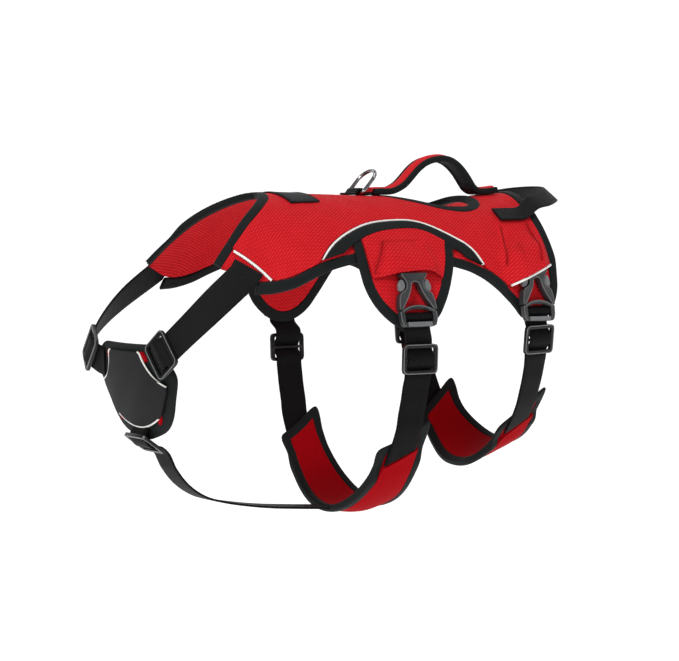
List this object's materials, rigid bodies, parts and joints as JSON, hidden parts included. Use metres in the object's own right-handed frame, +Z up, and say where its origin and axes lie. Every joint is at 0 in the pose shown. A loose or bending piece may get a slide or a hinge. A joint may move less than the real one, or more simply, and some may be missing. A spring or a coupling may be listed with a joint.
{
  "type": "dog harness",
  "caption": "Dog harness in its worn form: bound cloth saddle with lifting handle, hinged lead ring, rear webbing loop, chest pad, and padded belly girths with side-release buckles and sliders.",
  "frame": {"origin": "where the saddle's underside rests on the top of the wearer's back, on the spine, level with the front girth", "axes": "+X to the wearer's left, +Y along the spine to the tail, +Z up"},
  "size_m": [0.2134, 0.4149, 0.2931],
  "materials": {
    "black_binding": "grosgrain tape, matte",
    "black_plastic": "fine moulded texture",
    "black_webbing": "woven webbing, matte",
    "charcoal_cloth": "smooth woven, matte",
    "grey_plastic": "fine moulded texture",
    "label_cloth": "smooth woven, matte",
    "red_cloth": "woven twill, matte",
    "reflective_piping": "reflective, satin",
    "steel": "polished"
  },
  "bodies": {
    "harness": {"belly_binding_front": "black_binding", "belly_binding_rear": "black_binding", "belly_pad_front": "red_cloth", "belly_pad_rear": "red_cloth", "binding_arch_L": "black_binding", "binding_arch_R": "black_binding", "binding_cutout": "black_binding", "binding_flap_L": "black_binding", "binding_flap_R": "black_binding", "binding_lower_L": "black_binding", "binding_lower_R": "black_binding", "binding_neck": "black_binding", "binding_rear": "black_binding", "buckle_plug_front_L": "grey_plastic", "buckle_plug_front_R": "grey_plastic", "buckle_plug_rear_L": "grey_plastic", "buckle_plug_rear_R": "grey_plastic", "buckle_socket_front_L": "grey_plastic", "buckle_socket_front_R": "grey_plastic", "buckle_socket_rear_L": "grey_plastic", "buckle_socket_rear_R": "grey_plastic", "chest_base": "black_binding", "chest_cover": "charcoal_cloth", "flap_hood_L": "red_cloth", "flap_hood_R": "red_cloth", "girth_flap_L": "red_cloth", "girth_flap_R": "red_cloth", "girth_slider_front_L": "black_plastic", "girth_slider_front_R": "black_plastic", "girth_slider_rear_L": "black_plastic", "girth_slider_rear_R": "black_plastic", "girth_strap_front_L": "black_webbing", "girth_strap_front_R": "black_webbing", "girth_strap_rear_L": "black_webbing", "girth_strap_rear_R": "black_webbing", "handle_binding_L": "black_binding", "handle_binding_R": "black_binding", "handle_top": "red_cloth", "handle_under": "black_webbing", "label_patch": "label_cloth", "piping_arch_L": "reflective_piping", "piping_arch_R": "reflective_piping", "piping_rear_L": "reflective_piping", "piping_rear_R": "reflective_piping", "piping_shoulder_L": "reflective_piping", "piping_shoulder_R": "reflective_piping", "rear_loop": "black_webbing", "ring_tab": "black_webbing", "saddle_base": "red_cloth", "saddle_shell": "red_cloth", "shoulder_slider_L": "black_plastic", "shoulder_slider_R": "black_plastic", "shoulder_strap_L": "black_webbing", "shoulder_strap_R": "black_webbing", "sternum_slider": "black_plastic", "sternum_strap": "black_webbing"},
    "lead_ring": {"lead_ring": "steel"}
  },
  "joints": [
    {"name": "lead_ring_hinge", "type": "hinge", "parent": "harness", "child": "lead_ring", "pos_m": [0, 0, 0.0068], "axis": [1, 0, 0], "range_deg": [-25, 110]}
  ]
}
